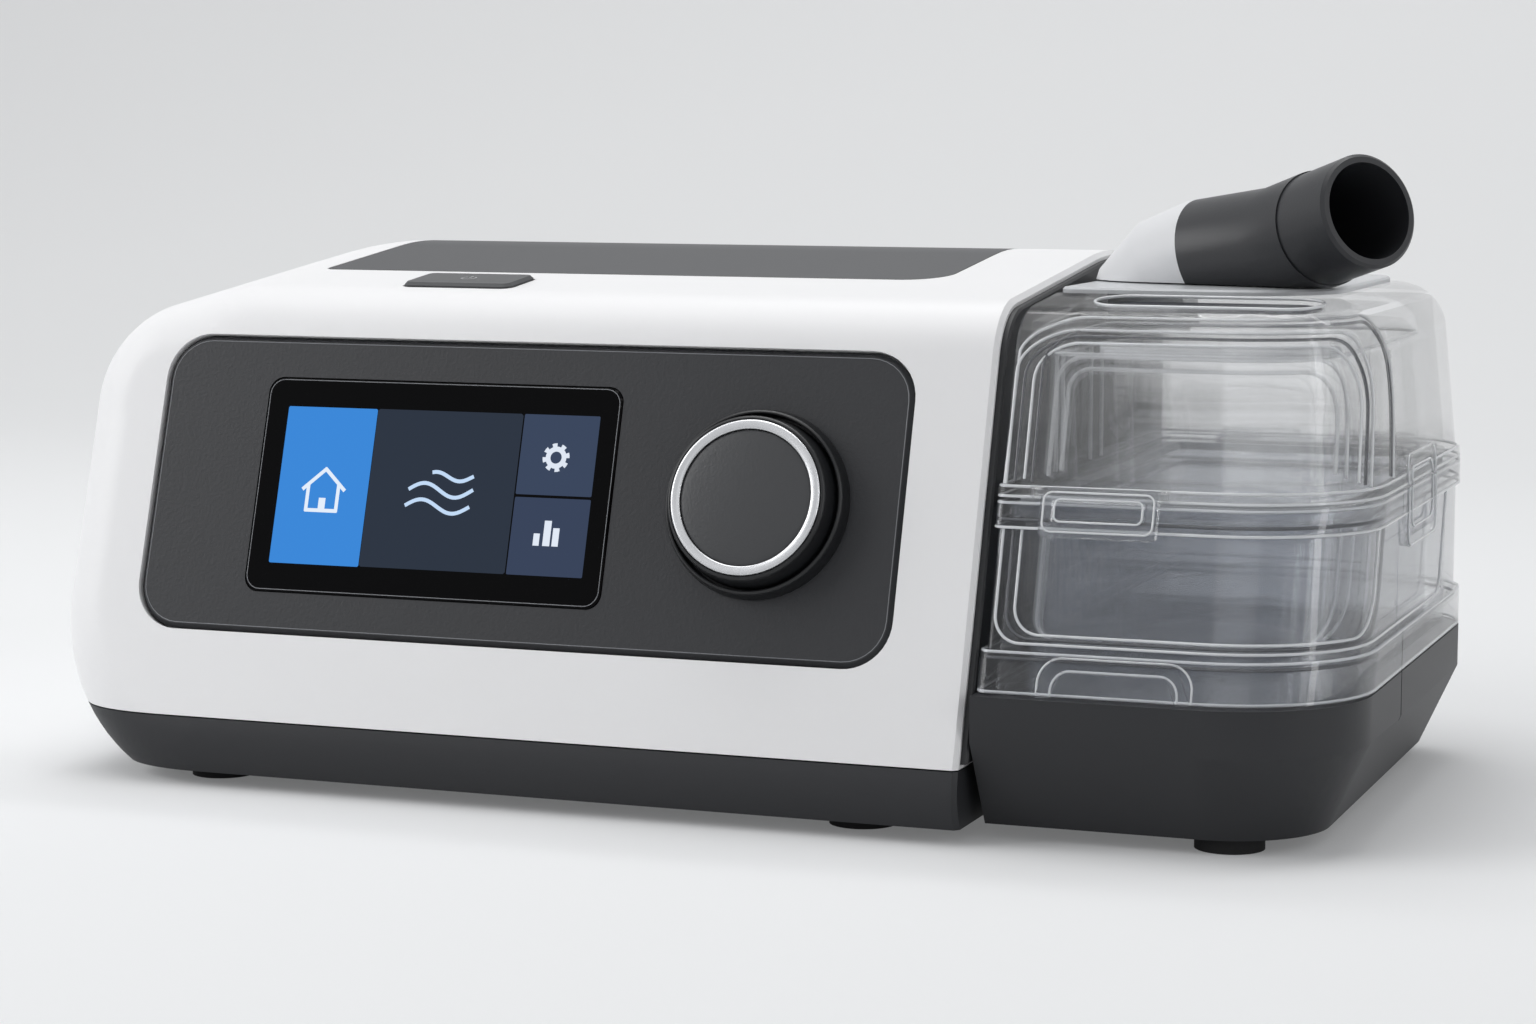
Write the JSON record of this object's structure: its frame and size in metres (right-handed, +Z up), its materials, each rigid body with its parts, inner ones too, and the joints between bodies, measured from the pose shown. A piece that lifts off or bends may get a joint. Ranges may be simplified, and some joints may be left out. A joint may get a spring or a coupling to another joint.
{
  "type": "bilevel pap machine",
  "caption": "Bedside air pressure machine with a leaning front panel, display and dial, and a clear hinged humidifier with a swivelling hose outlet.",
  "frame": {"origin": "middle of the bounding box at the height of the table under the feet", "axes": "+X from the blower unit to the humidifier, +Y from the front panel to the rear, +Z up"},
  "size_m": [0.2676, 0.145, 0.126],
  "materials": {
    "white_abs": "satin white",
    "charcoal_abs": "fine texture",
    "base_charcoal": "fine texture",
    "bezel_abs": "fine texture",
    "display_glass": "smoked glass",
    "display_panel": "lit panel",
    "circuit_board": "solder mask",
    "screw_steel": "plain",
    "encoder_metal": "plain",
    "heater_metal": "brushed",
    "dial_black": "satin",
    "dial_satin": "satin",
    "dial_chrome": "bright",
    "foot_rubber": "matt",
    "silicone": "matt",
    "elbow_rubber": "matt",
    "foam": "open cell",
    "filter_foam": "fine fibre",
    "blower_grey": "plain",
    "impeller_white": "plain",
    "cover_grey": "satin",
    "button_grey": "satin",
    "plate_grey": "satin",
    "clear_tub": "clear polycarbonate",
    "clear_vessel": "clear polycarbonate",
    "clear_lid": "clear polycarbonate",
    "clear_latch": "clear polycarbonate"
  },
  "bodies": {
    "housing": {"housing_shell": "white_abs", "base_tray": "charcoal_abs", "case_screws": "screw_steel", "rubber_feet": "foot_rubber", "front_bezel": "bezel_abs", "display_glass": "display_glass", "display_module": "display_panel", "control_board": "circuit_board", "encoder_body": "encoder_metal", "encoder_nut": "encoder_metal", "dial_collar": "dial_black", "top_panel": "bezel_abs", "button_switch": "circuit_board", "blower_lower_case": "blower_grey", "blower_upper_case": "blower_grey", "blower_motor": "encoder_metal", "motor_bearings": "screw_steel", "blower_mounts": "silicone", "silencer_foam": "foam", "air_duct": "silicone", "main_board": "circuit_board", "power_inlet": "dial_black", "filter_frame": "blower_grey", "inlet_filter": "filter_foam", "dock_frame": "charcoal_abs", "port_seal": "silicone", "humidifier_base": "base_charcoal", "base_cover": "base_charcoal", "heater_insulation": "foam", "heater_plate": "heater_metal"},
    "rotor": {"impeller": "impeller_white", "motor_shaft": "screw_steel"},
    "dial_press": {"encoder_plunger": "encoder_metal"},
    "dial": {"encoder_shaft": "screw_steel", "dial_skirt": "dial_black", "dial_ring": "dial_chrome", "dial_cap": "dial_satin"},
    "start_key": {"start_button": "button_grey"},
    "filter_door": {"filter_cover": "cover_grey"},
    "chamber": {"tub_shell": "clear_tub", "water_tub": "clear_vessel", "tub_heat_plate": "heater_metal", "tub_seal": "silicone", "lid_hinge_pin": "screw_steel"},
    "lid": {"chamber_lid": "clear_lid", "lid_liner": "clear_vessel", "outlet_plate": "plate_grey", "outlet_gasket": "silicone"},
    "elbow": {"elbow_cowl": "white_abs", "elbow_sleeve": "elbow_rubber"},
    "latch": {"front_latch": "clear_latch"}
  },
  "joints": [
    {"name": "impeller_spin", "type": "hinge", "parent": "housing", "child": "rotor", "pos_m": [-0.048, 0.012, 0.055], "axis": [0, 0, 1], "continuous": true},
    {"name": "dial_push", "type": "slide", "parent": "housing", "child": "dial_press", "axis": [0, 0.9548, -0.2974], "range_m": [0, 0.0008], "stiffness_N_per_m": 1500, "springref_m": -0.001},
    {"name": "dial_turn", "type": "hinge", "parent": "dial_press", "child": "dial", "pos_m": [0.0191, -0.05759, 0.06], "axis": [0, -0.9548, 0.2974], "continuous": true},
    {"name": "start_press", "type": "slide", "parent": "housing", "child": "start_key", "axis": [0, 0.1045, -0.9945], "range_m": [0, 0.0008], "stiffness_N_per_m": 600, "springref_m": -0.001},
    {"name": "filter_pull", "type": "slide", "parent": "housing", "child": "filter_door", "axis": [0, 1, 0], "range_m": [0, 0.015]},
    {"name": "chamber_lift", "type": "slide", "parent": "housing", "child": "chamber", "axis": [0, 0, 1], "range_m": [0, 0.08]},
    {"name": "lid_open", "type": "hinge", "parent": "chamber", "child": "lid", "pos_m": [0.0995, 0.0694, 0.0629], "axis": [-1, 0, 0], "range_deg": [0, 100]},
    {"name": "elbow_swivel", "type": "hinge", "parent": "lid", "child": "elbow", "pos_m": [0.0781, 0.0097, 0.1003], "axis": [0, 0, 1], "range_deg": [-58, 118]},
    {"name": "latch_open", "type": "hinge", "parent": "lid", "child": "latch", "pos_m": [0.086, -0.0571, 0.06459], "axis": [-1, 0, 0], "range_deg": [0, 50]}
  ]
}
